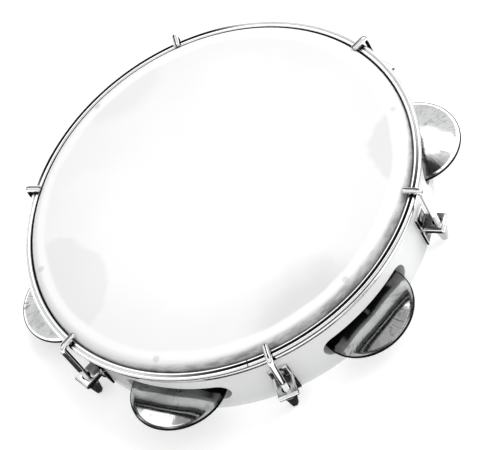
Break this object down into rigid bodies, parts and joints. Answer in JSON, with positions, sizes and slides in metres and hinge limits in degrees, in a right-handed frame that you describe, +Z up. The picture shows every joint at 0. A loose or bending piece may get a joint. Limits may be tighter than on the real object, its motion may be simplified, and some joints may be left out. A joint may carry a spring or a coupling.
{
  "type": "pandeiro",
  "caption": "Shallow round frame drum with a hook-tuned plastic head, chromed hoop and pairs of dished jingles on pins in long slots round its white shell.",
  "frame": {"origin": "centre of the shell's bottom edge, on the surface that the drum rests on", "axes": "+Z up out of the head; +X towards hook 1; the hooks are numbered clockwise seen from above"},
  "size_m": [0.2866, 0.306, 0.0538],
  "materials": {
    "shell_laminate": "glossy white laminate",
    "head_film": "milky satin film",
    "hoop_chrome": "bright chrome",
    "plated_steel": "nickel plate",
    "pin_steel": "plain steel",
    "jingle_steel": "polished plate"
  },
  "bodies": {
    "drum": {"shell": "shell_laminate", "head": "head_film", "flesh_hoop": "plated_steel", "counter_hoop": "hoop_chrome", "bracket_1": "plated_steel", "rivet_upper_1": "pin_steel", "rivet_lower_1": "pin_steel", "bracket_2": "plated_steel", "rivet_upper_2": "pin_steel", "rivet_lower_2": "pin_steel", "bracket_3": "plated_steel", "rivet_upper_3": "pin_steel", "rivet_lower_3": "pin_steel", "bracket_4": "plated_steel", "rivet_upper_4": "pin_steel", "rivet_lower_4": "pin_steel", "bracket_5": "plated_steel", "rivet_upper_5": "pin_steel", "rivet_lower_5": "pin_steel", "bracket_6": "plated_steel", "rivet_upper_6": "pin_steel", "rivet_lower_6": "pin_steel", "jingle_pin_1": "pin_steel", "jingle_pin_2": "pin_steel", "jingle_pin_3": "pin_steel", "jingle_pin_4": "pin_steel", "jingle_pin_5": "pin_steel"},
    "tuning_nut_1": {"tuning_nut_1": "plated_steel"},
    "tension_hook_1": {"tension_hook_1": "hoop_chrome"},
    "tuning_nut_2": {"tuning_nut_2": "plated_steel"},
    "tension_hook_2": {"tension_hook_2": "hoop_chrome"},
    "tuning_nut_3": {"tuning_nut_3": "plated_steel"},
    "tension_hook_3": {"tension_hook_3": "hoop_chrome"},
    "tuning_nut_4": {"tuning_nut_4": "plated_steel"},
    "tension_hook_4": {"tension_hook_4": "hoop_chrome"},
    "tuning_nut_5": {"tuning_nut_5": "plated_steel"},
    "tension_hook_5": {"tension_hook_5": "hoop_chrome"},
    "tuning_nut_6": {"tuning_nut_6": "plated_steel"},
    "tension_hook_6": {"tension_hook_6": "hoop_chrome"},
    "jingle_lower_1": {"jingle_lower_1": "jingle_steel"},
    "jingle_upper_1": {"jingle_upper_1": "jingle_steel"},
    "jingle_lower_2": {"jingle_lower_2": "jingle_steel"},
    "jingle_upper_2": {"jingle_upper_2": "jingle_steel"},
    "jingle_lower_3": {"jingle_lower_3": "jingle_steel"},
    "jingle_upper_3": {"jingle_upper_3": "jingle_steel"},
    "jingle_lower_4": {"jingle_lower_4": "jingle_steel"},
    "jingle_upper_4": {"jingle_upper_4": "jingle_steel"},
    "jingle_lower_5": {"jingle_lower_5": "jingle_steel"},
    "jingle_upper_5": {"jingle_upper_5": "jingle_steel"}
  },
  "joints": [
    {"name": "nut_turn_1", "type": "hinge", "parent": "drum", "child": "tuning_nut_1", "pos_m": [0.13745, -0.00384, 0.0172], "axis": [0, 0, -1], "range_deg": [0, 1350]},
    {"name": "hook_lift_1", "type": "slide", "parent": "drum", "child": "tension_hook_1", "axis": [0, 0, 1], "range_m": [0, 0.00263]},
    {"name": "nut_turn_2", "type": "hinge", "parent": "drum", "child": "tuning_nut_2", "pos_m": [0.0702, -0.11823, 0.0172], "axis": [-0.018, -0.0107, -0.9998], "range_deg": [0, 1350]},
    {"name": "hook_lift_2", "type": "slide", "parent": "drum", "child": "tension_hook_2", "axis": [0.018, 0.0107, 0.9998], "range_m": [0, 0.00263]},
    {"name": "nut_turn_3", "type": "hinge", "parent": "drum", "child": "tuning_nut_3", "pos_m": [-0.06708, -0.12003, 0.0172], "axis": [-0.0487, 0.0272, -0.9984], "range_deg": [0, 1350]},
    {"name": "hook_lift_3", "type": "slide", "parent": "drum", "child": "tension_hook_3", "axis": [0.0487, -0.0272, 0.9984], "range_m": [0, 0.00263]},
    {"name": "nut_turn_4", "type": "hinge", "parent": "drum", "child": "tuning_nut_4", "pos_m": [-0.13748, -0.00216, 0.0172], "axis": [0.0012, -0.0784, -0.9969], "range_deg": [0, 1350]},
    {"name": "hook_lift_4", "type": "slide", "parent": "drum", "child": "tension_hook_4", "axis": [-0.0012, 0.0784, 0.9969], "range_m": [0, 0.00263]},
    {"name": "nut_turn_5", "type": "hinge", "parent": "drum", "child": "tuning_nut_5", "pos_m": [-0.07266, 0.11673, 0.0172], "axis": [0, 0, -1], "range_deg": [0, 1350]},
    {"name": "hook_lift_5", "type": "slide", "parent": "drum", "child": "tension_hook_5", "axis": [0, 0, 1], "range_m": [0, 0.00263]},
    {"name": "nut_turn_6", "type": "hinge", "parent": "drum", "child": "tuning_nut_6", "pos_m": [0.0702, 0.11823, 0.0172], "axis": [0, 0, -1], "range_deg": [0, 1350]},
    {"name": "hook_lift_6", "type": "slide", "parent": "drum", "child": "tension_hook_6", "axis": [0, 0, 1], "range_m": [0, 0.00263]},
    {"name": "jingle_hop_1", "type": "slide", "parent": "drum", "child": "jingle_lower_1", "axis": [0, 0, 1], "range_m": [0, 0.00219]},
    {"name": "jingle_clap_1", "type": "slide", "parent": "jingle_lower_1", "child": "jingle_upper_1", "axis": [0, 0, 1], "range_m": [0, 0.00219]},
    {"name": "jingle_hop_2", "type": "slide", "parent": "drum", "child": "jingle_lower_2", "axis": [0, 0, 1], "range_m": [0, 0.00236]},
    {"name": "jingle_clap_2", "type": "slide", "parent": "jingle_lower_2", "child": "jingle_upper_2", "axis": [0, 0, 1], "range_m": [0, 0.00236]},
    {"name": "jingle_hop_3", "type": "slide", "parent": "drum", "child": "jingle_lower_3", "axis": [0, 0, 1], "range_m": [0, 0.00173]},
    {"name": "jingle_clap_3", "type": "slide", "parent": "jingle_lower_3", "child": "jingle_upper_3", "axis": [0, 0, 1], "range_m": [0, 0.00173]},
    {"name": "jingle_hop_4", "type": "slide", "parent": "drum", "child": "jingle_lower_4", "axis": [0, 0, 1], "range_m": [0, 0.00261]},
    {"name": "jingle_clap_4", "type": "slide", "parent": "jingle_lower_4", "child": "jingle_upper_4", "axis": [0, 0, 1], "range_m": [0, 0.00261]},
    {"name": "jingle_hop_5", "type": "slide", "parent": "drum", "child": "jingle_lower_5", "axis": [0, 0, 1], "range_m": [0, 0.00267]},
    {"name": "jingle_clap_5", "type": "slide", "parent": "jingle_lower_5", "child": "jingle_upper_5", "axis": [0, 0, 1], "range_m": [0, 0.00267]}
  ],
  "couplings": [
    {"joint": "nut_turn_1", "follows": "hook_lift_1", "rad_per_m": 8976},
    {"joint": "nut_turn_2", "follows": "hook_lift_2", "rad_per_m": 8976},
    {"joint": "nut_turn_3", "follows": "hook_lift_3", "rad_per_m": 8976},
    {"joint": "nut_turn_4", "follows": "hook_lift_4", "rad_per_m": 8976},
    {"joint": "nut_turn_5", "follows": "hook_lift_5", "rad_per_m": 8976},
    {"joint": "nut_turn_6", "follows": "hook_lift_6", "rad_per_m": 8976}
  ]
}
